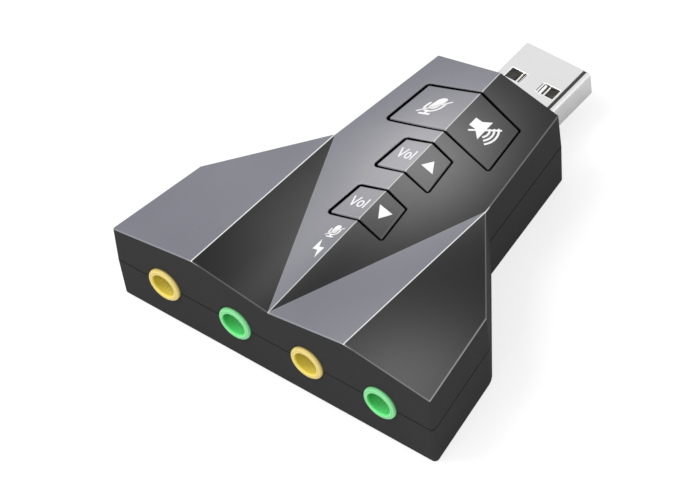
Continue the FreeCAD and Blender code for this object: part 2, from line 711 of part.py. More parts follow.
def write(name, shapes):
    shapes = shapes if isinstance(shapes, list) else [shapes]
    whole = Part.makeCompound(shapes) if len(shapes) > 1 else shapes[0]
    whole = whole.copy()
    whole.translate(vector(0, -MIDDLE_Y, 0))
    solids = whole.Solids
    state = "valid" if whole.isValid() else "NOT VALID"
    print(name, len(solids), "solids", round(whole.Volume, 3), "mm3", state)
    if len(solids) == 1:
        whole = solids[0]
    whole.exportStep(os.path.join("parts", name + ".step"))


os.makedirs("parts", exist_ok=True)
places = switch_places()
write("bottom_cover", bottom_cover())
write("top_cover", top_cover())
write("main_board", main_board())
write("usb_plug_shell", plug_shell())
write("usb_plug_insulator", plug_insulator())
write("usb_contacts", plug_contacts())
jacks = ("mic_jack_left", "phone_jack_left", "mic_jack_right", "phone_jack_right")
for jack, jack_x in zip(jacks, JACK_XS):
    write(jack, jack_housing(jack_x))
    write(jack + "_springs", jack_springs(jack_x))
write("mute_key", mute_key())
write("volume_up_key", volume_key(VOLUME_UP_Y, places["volume_up"]))
write("volume_down_key", volume_key(VOLUME_DOWN_Y, places["volume_down"]))
for switch, place in places.items():
    write(switch + "_switch", switch_base(*place))
    write(switch + "_plunger", switch_plunger(*place))
write("switch_terminals", switch_terminals())
write("power_led", lamp(POWER_LAMP_Y))
write("mute_led", lamp(MUTE_LAMP_Y))
write("light_guide", light_guide())
write("audio_chip", audio_chip())
write("audio_chip_leads", audio_chip_leads())
write("clock_crystal", clock_crystal())
write("capacitor_bases", capacitor_bases())
write("capacitor_cans", capacitor_cans())
write("chip_resistors", chip_row(1, RESISTOR_HEIGHT))
write("chip_capacitors", chip_row(-1, CAPACITOR_HEIGHT))
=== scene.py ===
import math
import bmesh
import bpy
import numpy as np
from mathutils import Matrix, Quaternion, Vector
from mathutils.geometry import delaunay_2d_cdt


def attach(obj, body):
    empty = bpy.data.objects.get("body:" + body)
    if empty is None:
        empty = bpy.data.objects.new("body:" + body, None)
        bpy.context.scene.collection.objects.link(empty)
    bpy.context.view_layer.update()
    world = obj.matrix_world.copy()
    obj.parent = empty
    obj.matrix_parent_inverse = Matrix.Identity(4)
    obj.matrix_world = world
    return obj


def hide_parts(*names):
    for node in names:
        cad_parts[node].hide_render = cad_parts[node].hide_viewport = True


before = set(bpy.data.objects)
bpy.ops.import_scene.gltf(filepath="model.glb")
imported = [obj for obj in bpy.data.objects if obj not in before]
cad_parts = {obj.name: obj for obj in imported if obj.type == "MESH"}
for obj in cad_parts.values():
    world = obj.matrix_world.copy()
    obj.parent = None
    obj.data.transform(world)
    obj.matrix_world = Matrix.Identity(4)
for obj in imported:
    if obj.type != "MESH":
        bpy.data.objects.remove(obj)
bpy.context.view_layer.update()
scene = bpy.context.scene
scene.view_settings.view_transform = "Standard"

# Camera. A long lens looks down on the jack side from the front right, with a slight
# roll, as the photograph was taken. The picture is 700 by 500.
camera_data = bpy.data.cameras.new("camera")
camera_data.sensor_width = 36
camera_data.lens = 246.23
camera = bpy.data.objects.new("camera", camera_data)
camera.location = (0.32111, -0.35066, 0.51741)
camera_aim = Vector((-0.0014026, -0.0139422, 0.008))
camera_roll = Quaternion((0, 0, 1), math.radians(-7.218))
camera_turn = (camera_aim - camera.location).to_track_quat("-Z", "Y") @ camera_roll
camera.rotation_euler = camera_turn.to_euler()
scene.collection.objects.link(camera)
scene.camera = camera


# Floor and light. The card lies on a white paper sweep in an even white room, under three
# big soft lamps: high on the left, low in front and on the right. The paper keeps a soft
# shadow.
class Wire:
    """An output in a node tree: sums and products of wires add Math nodes."""

    def __init__(self, tree, socket=None):
        self.tree = tree
        self.socket = socket

    def add(self, kind, settings=None, inputs=None, output=0):
        """Add any other node: its settings first, then its sockets by name or number."""
        node = self.tree.nodes.new(kind)
        for name, value in (settings or {}).items():
            setattr(node, name, value)
        for name, value in (inputs or {}).items():
            if isinstance(value, Wire):
                self.tree.links.new(value.socket, node.inputs[name])
            else:
                node.inputs[name].default_value = value
        return Wire(self.tree, node.outputs[output] if len(node.outputs) else None)

    def math(self, operation, *values, clamped=False):
        """A Math node, whose result may be kept between 0 and 1."""
        settings = {"operation": operation, "use_clamp": clamped}
        return self.add("ShaderNodeMath", settings, dict(enumerate(values)))

    def mix(self, share, first, second):
        """Blend two colours by a share."""
        colours = [value if isinstance(value, Wire) else (*value, 1.0) for value in (first, second)]
        return self.add("ShaderNodeMix", {"data_type": "RGBA"}, {0: share, 6: colours[0], 7: colours[1]}, 2)

    def scaled(self, colour, share):
        """Make a colour darker or brighter by a share."""
        return self.add("ShaderNodeVectorMath", {"operation": "SCALE"}, {0: colour, "Scale": share})

    def noise(self, place, size, detail=2.0):
        """Noise from 0 to 1 whose lumps are about one size across, in millimetres."""
        return self.add("ShaderNodeTexNoise", None,
                        {"Vector": place, "Scale": 1000.0 / size, "Detail": detail})

    def relief(self, height, strength, depth):
        """The normals of a slight relief, whose depth is in millimetres."""
        return self.add("ShaderNodeBump", None,
                        {"Strength": strength, "Distance": depth / 1000, "Height": height})

    def __add__(self, other):
        return self.math("ADD", self, other)

    def __radd__(self, other):
        return self.math("ADD", other, self)

    def __sub__(self, other):
        return self.math("SUBTRACT", self, other)

    def __rsub__(self, other):
        return self.math("SUBTRACT", other, self)

    def __mul__(self, other):
        return self.math("MULTIPLY", self, other)

    def __rmul__(self, other):
        return self.math("MULTIPLY", other, self)

    def __lt__(self, other):
        return self.math("LESS_THAN", self, other)

    def __gt__(self, other):
        return self.math("GREATER_THAN", self, other)

    def __abs__(self):
        return self.math("ABSOLUTE", self)


def finish(name):
    """A new material: its first wire, its shader node and its object coordinates."""
    material = bpy.data.materials.new(name)
    material.use_nodes = True
    wire = Wire(material.node_tree)
    shader = material.node_tree.nodes["Principled BSDF"]
    place = wire.add("ShaderNodeTexCoord", output="Object")
    return material, wire, shader, place


def feed(shader, **sockets):
    """Set or link the shader's sockets; underscores in a name stand for spaces."""
    for name, value in sockets.items():
        socket = shader.inputs[name.replace("_", " ")]
        if isinstance(value, Wire):
            value.tree.links.new(value.socket, socket)
        else:
            socket.default_value = value


PAPER_HALF = 3.0
PAPER_SHADE = 0.85
PAPER_SHADE_SEEN = 0.43
PAPER_GLOW_SEEN = 0.68
paper_mesh = bpy.data.meshes.new("paper")
paper_mesh.from_pydata([(-PAPER_HALF, -PAPER_HALF, 0), (PAPER_HALF, -PAPER_HALF, 0),
                        (PAPER_HALF, PAPER_HALF, 0), (-PAPER_HALF, PAPER_HALF, 0)], [], [(0, 1, 2, 3)])
paper = bpy.data.objects.new("paper", paper_mesh)
scene.collection.objects.link(paper)
paper_white, wire, shader, place = finish("paper_white")
seen = wire.add("ShaderNodeLightPath", output="Is Camera Ray")
feed(shader, Base_Color=PAPER_SHADE + seen * (PAPER_SHADE_SEEN - PAPER_SHADE), Roughness=0.9,
     Specular_IOR_Level=0.1, Emission_Color=seen * PAPER_GLOW_SEEN, Emission_Strength=1.0)
paper_mesh.materials.append(paper_white)

ROOM_LIGHT = 0.55
world = bpy.data.worlds.new("studio")
scene.world = world
world.use_nodes = True
sky = Wire(world.node_tree)
seen = 0.0
for ray in ("Is Camera Ray", "Is Glossy Ray", "Is Transmission Ray"):
    seen = seen + sky.add("ShaderNodeLightPath", output=ray)
feed(world.node_tree.nodes["Background"], Color=(1.0, 1.0, 1.0, 1.0),
     Strength=ROOM_LIGHT + seen * (1.0 - ROOM_LIGHT))


def softbox(name, place, side, watts):
    """A square lamp that faces the middle of the object."""
    lamp_data = bpy.data.lights.new(name, "AREA")
    lamp_data.size = side
    lamp_data.energy = watts
    lamp = bpy.data.objects.new(name, lamp_data)
    lamp.location = place
    lamp.rotation_euler = (-Vector(place)).to_track_quat("-Z", "Y").to_euler()
    scene.collection.objects.link(lamp)


softbox("lamp_left", (-0.45, -0.30, 0.85), 0.5, 3.8)
softbox("lamp_front", (0.05, -0.95, 0.32), 0.6, 3.4)
softbox("lamp_right", (0.95, 0.15, 0.35), 0.6, 3.0)


# Upper case. It is moulded in black plastic as a roof of six facets over leaning walls. The
# roof is lacquered in two greys that are painted light and shade, paler where it faces left and
# darker where it faces right, with painted sheen in soft spots and painted highlights along its
# ridges. Three chevron openings let the keys through, and it snaps on to the lower case.
LEAN = math.tan(math.radians(1.75))
EDGE_Z = 13.7
VALLEY_Z = 13.8
TIP_Z = 15.6
RIDGE_Z = 16.0
TAIL = (29.0, 0.0, EDGE_Z)
WING = (26.2, 16.6, EDGE_Z)
SHOULDER = (13.8, 32.7, EDGE_Z)
NOSE = (11.1, 53.8, EDGE_Z)
TIP = (0.0, 54.7 - (TIP_Z - EDGE_Z) * LEAN, TIP_Z)
RIDGE = (13.9, (RIDGE_Z - EDGE_Z) * LEAN, RIDGE_Z)
VALLEY = (0.0, (VALLEY_Z - EDGE_Z) * LEAN, VALLEY_Z)
MIDDLE_Y = 33.65
CASE_RIM = 0.18
CASE_BASE = 7.5
CASE_WALL = 1.6
CASE_ROOF = 1.5
CASE_HOLLOW_Z = 5.0
CASE_STEP = 1.5
EDGE_CORNER_R = 0.2
BASE_CORNER_R = 0.7
BASE_WING_R = 4.0
KEY_STEP = 1.2
KEY_GAPS = np.array([0.45, 0.35, 0.35, 0.45, 0.55, 0.55])
KEY_HOLE_RIGHT_R = 0.45
KEY_HOLE_LEFT_R = 0.75


def mirrored(corner):
    """The like corner on the left half."""
    return (-corner[0], *corner[1:])


def ruled_height(x, y, corners, rounds=12):
    """Height of a ruled facet over plan points; its corners go round it in turn."""
    a, b, c, d = [np.array(corner) for corner in corners]
    along, across, twist = b - a, d - a, a - b + c - d
    s = np.full(x.shape, 0.5)
    t = np.full(x.shape, 0.5)
    for _ in range(rounds):
        off_x = a[0] + s * along[0] + t * across[0] + s * t * twist[0] - x
        off_y = a[1] + s * along[1] + t * across[1] + s * t * twist[1] - y
        xs, xt = along[0] + t * twist[0], across[0] + s * twist[0]
        ys, yt = along[1] + t * twist[1], across[1] + s * twist[1]
        spread = xs * yt - xt * ys
        s, t = s - (off_x * yt - off_y * xt) / spread, t - (off_y * xs - off_x * ys) / spread
    return a[2] + s * along[2] + t * across[2] + s * t * twist[2]


def roof_height(x, y):
    """Height of the faceted roof over plan points, in millimetres."""
    u = np.abs(x)
    rise = (RIDGE[2] - VALLEY[2]) / RIDGE[0]
    fall = (SHOULDER[2] - VALLEY[2] - rise * SHOULDER[0]) / SHOULDER[1]
    on_spine = SHOULDER[0] * y >= SHOULDER[1] * u
    past_ridge = u > RIDGE[0] + (SHOULDER[0] - RIDGE[0]) * y / SHOULDER[1]
    outer = ruled_height(u, y, (TAIL, RIDGE, SHOULDER, WING))
    spine = ruled_height(u, y, (VALLEY, TIP, NOSE, SHOULDER))
    return np.where(on_spine, spine, np.where(past_ridge, outer, VALLEY[2] + rise * u + fall * y))


def nearness(points, segments):
    """Where on each segment it is nearest to each plan point, as a share, and how near."""
    start, end = segments[None, :, 0], segments[None, :, 1]
    run = end - start
    offset = points[:, None, :] - start
    share = np.clip((offset * run).sum(-1) / (run * run).sum(-1), 0.0, 1.0)
    return share, np.linalg.norm(offset - share[..., None] * run, axis=-1)


def nearest(points, segments):
    """Distance from each plan point to the nearest of the segments."""
    return nearness(points, segments)[1].min(1)


def sides(loop):
    """The segments of a closed loop."""
    return np.stack([loop, np.roll(loop, -1, axis=0)], axis=1)


def within(points, loop):
    """Which plan points lie inside a closed loop."""
    inside = np.zeros(len(points), bool)
    for (x0, y0), (x1, y1) in sides(loop):
        if y0 != y1:
            crosses = (points[:, 1] < y0) != (points[:, 1] < y1)
            inside ^= crosses & (points[:, 0] < x0 + (points[:, 1] - y0) * (x1 - x0) / (y1 - y0))
    return inside


def follow(points, loop, other, close=1e-3):
    """Points with those that lie on a loop moved to the like place on another loop."""
    share, far = nearness(points, sides(loop))
    side = far.argmin(1)
    share = np.take_along_axis(share, side[:, None], 1)
    there = other[side] * (1 - share) + np.roll(other, -1, axis=0)[side] * share
    return np.where(far.min(1)[:, None] < close, there, points)


def inset(loop, gap):
    """The loop (counter-clockwise) with each side moved in by the gap."""
    along = np.roll(loop, -1, axis=0) - loop
    along = along / np.linalg.norm(along, axis=1)[:, None]
    ahead = np.stack([-along[:, 1], along[:, 0]], axis=1)
    behind = np.roll(ahead, 1, axis=0)
    middle = ahead + behind
    middle = middle / np.linalg.norm(middle, axis=1)[:, None]
    return loop + middle * (gap / (middle * ahead).sum(1))[:, None]


def rounded(corners, radii, turns=6):
    """A loop whose outward corners are rounded, each by its own radius."""
    points = []
    for index, radius in enumerate(radii):
        here = Vector(corners[index])
        back = (Vector(corners[index - 1]) - here).normalized()
        ahead = (Vector(corners[(index + 1) % len(corners)]) - here).normalized()
        if not radius or back.cross(ahead) > 0:
            points.append(here)
            continue
        half = back.angle(ahead) / 2
        middle = here + (back + ahead).normalized() * (radius / math.sin(half))
        start = here + back * (radius / math.tan(half)) - middle
        sweep = math.pi - 2 * half
        for turn in range(turns + 1):
            angle = sweep * turn / turns
            points.append(middle + Vector((start.x * math.cos(angle) - start.y * math.sin(angle),
                                           start.x * math.sin(angle) + start.y * math.cos(angle))))
    return np.array(points, float)


def divided(loop, step, like=None):
    """The loop with its long sides divided, as many times as those of another loop."""
    like = loop if like is None else like
    points = []
    for (start, end), (like_start, like_end) in zip(sides(loop), sides(like)):
        count = max(1, math.ceil(np.linalg.norm(like_end - like_start) / step))
        points += [start + (end - start) * index / count for index in range(count)]
    return np.array(points)


def case_plan(radius, wing_radius, z=None, gap=0.0):
    """The case in plan, counter-clockwise, with its tail, wing and nose corners rounded.

    It is the plan of the roof's edge, or of the leaning wall at a lower level.
    """
    right = [(TAIL, radius), (WING, wing_radius), (SHOULDER, 0.0), (NOSE, radius)]
    left = [(mirrored(corner), turn) for corner, turn in reversed(right)]
    front = [(mirrored(RIDGE), 0.0), (VALLEY, 0.0), (RIDGE, 0.0)]
    ring = right + [(TIP, 0.0)] + left + ([] if gap else front)
    corners = np.array([corner for corner, turn in ring])
    drop = 0.0 if z is None else corners[:, 2] - z
    return rounded(inset(corners[:, :2], gap - LEAN * drop), [turn for corner, turn in ring])


case_edge = case_plan(EDGE_CORNER_R, EDGE_CORNER_R)


def chevron(front_y, back_y, front_half, back_half, sweep, gap, right_radius, left_radius):
    """A key in plan: its middle stands back from its sides by the sweep."""
    corners = np.array([(0.0, front_y), (front_half, front_y - sweep), (back_half, back_y - sweep),
                        (0.0, back_y), (-back_half, back_y - sweep), (-front_half, front_y - sweep)])
    return rounded(inset(corners, gap), [0, right_radius, right_radius, 0, left_radius, left_radius])


# Keys in plan: front, back, half width in front and at the back, and sweep.
KEY_PLANS = {"mute_key": (41.1, 50.0, 9.42, 8.42, 2.0),
             "volume_up_key": (31.6, 38.35, 4.95, 4.25, 1.0),
             "volume_down_key": (20.75, 27.5, 4.95, 4.25, 1.0)}
CREASE_HALF = 0.12
CREASE_DROP = 0.012
# Lines of the roof: start, end, and how strong a painted highlight runs along them.
RIDGE_LINES = [(RIDGE, SHOULDER, 1.4), (mirrored(RIDGE), mirrored(SHOULDER), 1.4), (VALLEY, TIP, 0.75)]
VALLEY_LINES = [(VALLEY, SHOULDER, 0.07), (VALLEY, mirrored(SHOULDER), 0.07)]


def line_distance(xy, line):
    """Distance from each plan point to a line of the roof."""
    return nearest(xy, np.array([[line[0][:2], line[1][:2]]]))


def eased_height(xy, loops, rim):
    """Roof height with its ridges and valleys eased and its rims rounded over."""
    z = roof_height(xy[:, 0], xy[:, 1])
    for lines, drop in ((RIDGE_LINES, CREASE_DROP), (VALLEY_LINES, -CREASE_DROP)):
        for line in lines:
            z = z - drop * np.clip(1 - line_distance(xy, line) / CREASE_HALF, 0, 1) ** 2
    if rim:
        edge = np.min([nearest(xy, sides(loop)) for loop in loops], axis=0)
        z = z - rim + np.sqrt(rim ** 2 - np.clip(rim - edge, 0, rim) ** 2)
    return z


def crease_lines(low, high, step):
    """The lines of the roof with one on both sides of each, divided, as far as a box shows them."""
    for start, end, _ in RIDGE_LINES + VALLEY_LINES:
        start, end = np.array(start[:2]), np.array(end[:2])
        run = end - start
        beside = np.array([-run[1], run[0]]) / np.linalg.norm(run) * CREASE_HALF
        count = math.ceil(np.linalg.norm(run) / step)
        for offset in (-1, 0, 1):
            line = start + offset * beside + run * np.linspace(0, 1, count + 1)[:, None]
            shown = line[((line > low) & (line < high)).all(1)]
            if len(shown) > 1:
                yield shown


SAME_POINT = 1e-6
WHOLE_HULL = 0
INSIDE_LINES = 1


def triangles(places, lines, wholes, cuts):
    """Faces in the wholes, or inside all the lines if there are none, but not in the cuts.

    It gives their points, the faces, and which of the places each point comes from.
    """
    kind = WHOLE_HULL if wholes else INSIDE_LINES
    found = delaunay_2d_cdt([Vector(place) for place in places], lines, [], kind, SAME_POINT)
    xy = np.array([tuple(place) for place in found[0]])
    corners = np.array(found[2])
    middles = xy[corners].mean(1)
    kept = np.full(len(corners), not wholes)
    for loop in wholes:
        kept |= within(middles, loop)
    for loop in cuts:
        kept &= ~within(middles, loop)
    return xy, corners[kept], found[3]


RIM_ROWS = (0.3, 1.0)
RIM_WALL = 0.4
GRID_CLEAR = 0.45


def faceted_solid(loops, holes=0, low_loop=None, rim=0.0, lift=0.0, under=None,
                  step=CASE_STEP, creased=True):
    """A closed solid under the roof: its plan is the loops, less the last few of them.

    The top follows the roof, the bottom is the level or the depth that under() gives,
    and the outer wall may flare to a low loop with as many points as the first loop.
    """
    wholes, cuts = loops[:len(loops) - holes], loops[len(loops) - holes:]
    points, edges = [], []

    def draw(line, closed):
        """Add a line to the plan."""
        first = len(points)
        points.extend(map(tuple, line))
        edges.extend((first + index, first + index + 1) for index in range(len(line) - 1))
        if closed:
            edges.append((len(points) - 1, first))

    for loop in loops:
        draw(loop, True)
    if rim:
        for group, side in ((wholes, 1), (cuts, -1)):
            for loop in group:
                for share in RIM_ROWS:
                    draw(inset(loop, side * rim * share), True)
    low, high = np.concatenate(loops).min(0), np.concatenate(loops).max(0)
    if creased:
        for line in crease_lines(low - step, high + step, step):
            draw(line, False)
    laid = np.array([[points[a], points[b]] for a, b in edges])
    grid = np.meshgrid(np.arange(low[0], high[0], step), np.arange(low[1], high[1], step))
    grid = np.stack(grid, -1).reshape(-1, 2)
    grid = grid[nearest(grid, laid) > GRID_CLEAR * step] if len(grid) else grid
    points.extend(map(tuple, grid))
    xy, top, _ = triangles(points, edges, wholes, cuts)
    total = len(xy)
    low_xy = xy if low_loop is None else follow(xy, loops[0], low_loop)
    directed = {(a, b) for face in top for a, b in zip(face, np.roll(face, -1))}
    border = sorted((a, b) for a, b in directed if (b, a) not in directed)
    if low_loop is None:
        bottom = top
    else:
        ring = sorted({a for a, b in border})
        spot = {a: index for index, a in enumerate(ring)}
        low_border = [(spot[a], spot[b]) for a, b in border]
        _, bottom, sources = triangles(low_xy[ring], low_border, [], cuts)
        bottom = [[ring[sources[a][0]] for a in face] for face in bottom]
    faces = [tuple(face) for face in top]
    faces += [tuple(total + a for a in reversed(list(face))) for face in bottom]
    top_z = eased_height(xy, loops, rim) + lift
    low_z = under(low_xy[:, 0], low_xy[:, 1])
    rows = [np.column_stack([xy, top_z]), np.column_stack([low_xy, low_z])]
    if rim:
        rows.append(np.column_stack([xy, top_z - RIM_WALL * rim]))
    corners = np.concatenate(rows)
    levels = (0, 2 * total, total) if rim else (0, total)
    for upper, lower in zip(levels, levels[1:]):
        faces += [(upper + a, lower + a, lower + b, upper + b) for a, b in border]
    used = sorted({a for face in faces for a in face})
    spot = {a: index for index, a in enumerate(used)}
    return corners[used], [tuple(spot[a] for a in face) for face in faces]


def along_y(profile, y0, y1):
    """A closed bar along Y whose section is a loop of x and z."""
    count = len(profile)
    corners = [(x, y0, z) for x, z in profile] + [(x, y1, z) for x, z in profile]
    faces = [tuple(range(count)), tuple(reversed(range(count, 2 * count)))]
    faces += [((a + 1) % count, a, a + count, (a + 1) % count + count) for a in range(count)]
    return np.array(corners), faces


def circle(x, y, radius, steps=64):
    """A round loop."""
    angles = np.arange(steps) * 2 * math.pi / steps
    return np.column_stack([x + radius * np.cos(angles), y + radius * np.sin(angles)])


def piece_from(name, *shells):
    """A new object from shells in millimetres, at its place in the frame."""
    corners, faces = [], []
    for shell_corners, shell_faces in shells:
        first = len(corners)
        corners += [(x / 1000, (y - MIDDLE_Y) / 1000, z / 1000) for x, y, z in shell_corners]
        faces += [tuple(first + int(a) for a in face) for face in shell_faces]
    mesh = bpy.data.meshes.new(name)
    mesh.from_pydata(corners, [], faces)
    mesh.update()
    piece = bpy.data.objects.new(name, mesh)
    scene.collection.objects.link(piece)
    return piece


def settle(piece):
    """Turn what the piece's modifiers give into its plain mesh."""
    evaluated = piece.evaluated_get(bpy.context.evaluated_depsgraph_get())
    mesh = bpy.data.meshes.new_from_object(evaluated)
    piece.modifiers.clear()
    piece.data = mesh
    mesh.name = piece.name


def carve(piece, *cutters):
    """Cut shells out of a piece."""
    blocks = [piece_from("cutter", cutter) for cutter in cutters]
    for block in blocks:
        cut = piece.modifiers.new("cut", "BOOLEAN")
        cut.object = block
        cut.operation = "DIFFERENCE"
        cut.solver = "EXACT"
    settle(piece)
    for block in blocks:
        bpy.data.objects.remove(block)


def smooth(piece, sharp_degrees=32):
    """Shade a piece smooth, with its flat faces kept flat up to its eased edges."""
    for face in piece.data.polygons:
        face.use_smooth = True
    piece.data.set_sharp_from_angle(angle=math.radians(sharp_degrees))
    weigh = piece.modifiers.new("weigh", "WEIGHTED_NORMAL")
    weigh.keep_sharp = True
    weigh.weight = 100
    settle(piece)


# Painted light along the roof's rims and ridges, as if lit from the front right; the neck's rims get a
# weaker painted highlight.
NECK_HIGHLIGHT_SHARE = 0.52
PAINTED_LIGHT_FROM = (1.0, -0.28)
PAINTED_LIGHT_DEPTH = 1.2


def mark_painted_light(piece, loops, holes, highlight_and_uninked, painted_shade, rim):
    """Write painted light for each point of the roof: above 0 a painted highlight, below 0 painted shade.

    The ridges get painted highlights, and so do rims that tilt to the front right, as if lit from there;
    rims that tilt away get painted shade.
    """
    place = np.array([corner.co for corner in piece.data.vertices]) * 1000
    xy = place[:, :2] + (0, MIDDLE_Y)
    on_roof = place[:, 2] > roof_height(xy[:, 0], xy[:, 1]) - PAINTED_LIGHT_DEPTH * rim
    painted_edge_light = np.zeros(len(xy))
    for index, loop in enumerate(loops):
        far = nearness(xy, sides(loop))[1]
        run = (np.roll(loop, -1, axis=0) - loop)[far.argmin(1)]
        run = run / np.linalg.norm(run, axis=1)[:, None]
        tilt = run[:, 1] * PAINTED_LIGHT_FROM[0] - run[:, 0] * PAINTED_LIGHT_FROM[1]
        if index >= len(loops) - holes:
            tilt = -tilt
        tilt = tilt * np.where((tilt > 0) & (xy[:, 1] > SHOULDER[1]), NECK_HIGHLIGHT_SHARE, 1.0)
        share = np.clip(1 - far.min(1) / rim, 0, 1)
        tilt = tilt * np.where(tilt > 0, highlight_and_uninked[index], painted_shade[index])
        painted_edge_light = np.where(share > 0, share * tilt, painted_edge_light)
    for line in RIDGE_LINES + VALLEY_LINES:
        share = np.clip(1 - line_distance(xy, line) / CREASE_HALF, 0, 1)
        painted_edge_light = np.maximum(painted_edge_light, line[2] * share) * (share > 0) + painted_edge_light * (share == 0)
    attribute = piece.data.attributes.new("painted_edge_light", "FLOAT", "POINT")
    attribute.data.foreach_set("value", np.where(on_roof, painted_edge_light, 0.0).astype(np.float32))


# Spots of painted sheen: how much, where in x and y, and how fast each fades along x and y.
PAINTED_SHEEN_SPOTS = [(1.0, 0.8, 35.2, 0.098, 0.072), (0.52, 24.0, 0.0, 0.090, 0.082),
            (0.15, -9.5, 15.0, 0.200, 0.095), (0.10, -21.0, 21.0, 0.110, 0.110),
            (0.26, -3.6, 12.0, 0.260, 0.062), (0.02, 12.0, 14.0, 0.080, 0.080)]
CLOUD_SIZE = 14.0
GRAIN_SIZE = 0.16
# Colours of the painted highlight and of the painted rim shade.
PAINTED_HIGHLIGHT_WHITE = (0.96, 0.96, 0.97)
PAINTED_RIM_SHADE = (0.006, 0.006, 0.006)


def axes(wire, place):
    """A shaded point in millimetres: x, y from the tail, and z."""
    x, y, z = [wire.add("ShaderNodeSeparateXYZ", None, {"Vector": place}, axis) * 1000.0 for axis in "XYZ"]
    return x, y + MIDDLE_Y, z


def lacquered(name, dark, dark_painted_sheen, light, light_painted_sheen, roughness):
    """Satin lacquer in two greys of painted light and shade, with painted sheen in soft spots.

    It is fine grained, with painted highlights along its ridges and rims, and painted shade on some rims.
    """
    material, wire, shader, place = finish(name)
    x, y, _ = axes(wire, place)
    across = abs(x)
    # Painted light and shade: facets that face left take the paler grey, those that face right the darker
    # one.
    inner = across > y * (SHOULDER[0] / SHOULDER[1])
    inner = inner * (across < RIDGE[0] - y * ((RIDGE[0] - SHOULDER[0]) / SHOULDER[1]))
    faces_left = abs((x < 0.0) - inner)
    painted_edge_light = wire.add("ShaderNodeAttribute", {"attribute_name": "painted_edge_light"}, output="Fac")
    cloud = wire.noise(place, CLOUD_SIZE) - 0.5
    grain = wire.noise(place, GRAIN_SIZE, 3.0) - 0.5
    # Painted sheen: soft bright spots laid into both greys.
    painted_sheen = 0.0
    for share, at_x, at_y, x_rate, y_rate in PAINTED_SHEEN_SPOTS:
        across_spot = (x - at_x) * x_rate
        along_spot = (y - at_y) * y_rate
        fade = across_spot * across_spot + along_spot * along_spot
        painted_sheen = painted_sheen + share * wire.math("EXPONENT", 0.0 - fade)
    shade = wire.mix(faces_left, wire.mix(painted_sheen, dark, dark_painted_sheen), wire.mix(painted_sheen, light, light_painted_sheen))
    shade = wire.scaled(shade, 1.0 + cloud * 0.16 + grain * 0.14)
    # Painted highlight where the edge attribute is above 0, painted shade where it is below.
    highlight_and_uninked = wire.math("MAXIMUM", painted_edge_light, 0.0)
    shade = wire.mix(highlight_and_uninked * (1.0 + grain * 0.3), shade, PAINTED_HIGHLIGHT_WHITE)
    shade = wire.mix(wire.math("MAXIMUM", 0.0 - painted_edge_light, 0.0), shade, PAINTED_RIM_SHADE)
    feed(shader, Base_Color=shade, Normal=wire.relief(grain, 0.06, 0.02), Specular_IOR_Level=0.15,
         Roughness=roughness + cloud * 0.10 + grain * 0.12 - highlight_and_uninked * 0.12)
    return material


def grained(name, dark, light, size, roughness, bump_share=0.08, **sockets):
    """A finish of two close tones in fine lumps of one size, with a slight relief."""
    material, wire, shader, place = finish(name)
    lumps = wire.noise(place, size, 3.0)
    feed(shader, Base_Color=wire.mix(lumps, dark, light), Normal=wire.relief(lumps, bump_share, size / 20),
         Roughness=roughness + (lumps - 0.5) * 0.15, **sockets)
    return material


COAT_DEPTH = 1.3
WALL_BAND = 0.5


def coat(piece, rim, *finishes):
    """Give a piece its finishes: its roof and rim, what is below them, and its outer wall. On the case and
    keys, what is below is painted shade.
    """
    for material in finishes:
        piece.data.materials.append(material)
    middles = np.array([face.center for face in piece.data.polygons]) * 1000
    middles[:, 1] += MIDDLE_Y
    below = middles[:, 2] < roof_height(middles[:, 0], middles[:, 1]) - COAT_DEPTH * rim
    outer = nearest(middles[:, :2], sides(case_edge)) < WALL_BAND
    kind = below * np.where(outer, len(finishes) - 1, 1)
    piece.data.polygons.foreach_set("material_index", kind.astype(np.int32))


case_low = divided(case_plan(BASE_CORNER_R, BASE_WING_R, CASE_BASE), CASE_STEP, like=case_edge)
case_loops = [divided(case_edge, CASE_STEP)]
for plan in KEY_PLANS.values():
    key_hole = chevron(*plan, -KEY_GAPS / 2, KEY_HOLE_RIGHT_R, KEY_HOLE_LEFT_R)
    case_loops.append(divided(key_hole, KEY_STEP))
upper_case = piece_from("upper_case", faceted_solid(
    case_loops, holes=len(KEY_PLANS), low_loop=case_low, rim=CASE_RIM,
    under=lambda x, y: np.full(x.shape, CASE_BASE)))
JACK_PITCH = 13.2
JACK_XS = [JACK_PITCH * (index - 1.5) for index in range(4)]
JACK_Z = 7.5
JACK_HOLE_R = 2.95
JACK_HOLE_Y = (-2.0, 4.0)
PLUG_SLOT = rounded([(-6.1, 2.75), (6.1, 2.75), (6.1, 7.45), (-6.1, 7.45)], [0.7] * 4)
PLUG_SLOT_Y = (45.0, 70.0)
HOLLOW_STEP = 3.0
case_hollow = faceted_solid([divided(case_plan(0.0, 0.0, gap=CASE_WALL), HOLLOW_STEP)], lift=-CASE_ROOF,
                            step=HOLLOW_STEP, under=lambda x, y: np.full(x.shape, CASE_HOLLOW_Z))
carve(upper_case, case_hollow, along_y(PLUG_SLOT, *PLUG_SLOT_Y),
      *[along_y(circle(x, JACK_Z, JACK_HOLE_R), *JACK_HOLE_Y) for x in JACK_XS])
# Painted highlight and painted shade on the case's rims: the outer edge first, then each key opening.
CASE_RIM_HIGHLIGHT = (0.31, 0.26, 0.26, 0.26)
CASE_RIM_SHADE = (0.5, 0.9, 0.9, 0.9)
mark_painted_light(upper_case, case_loops, len(KEY_PLANS), CASE_RIM_HIGHLIGHT, CASE_RIM_SHADE, CASE_RIM)
smooth(upper_case)
CASE_BARE = (0.032, 0.032, 0.032)
CASE_BARE_GRAIN = (0.040, 0.040, 0.040)
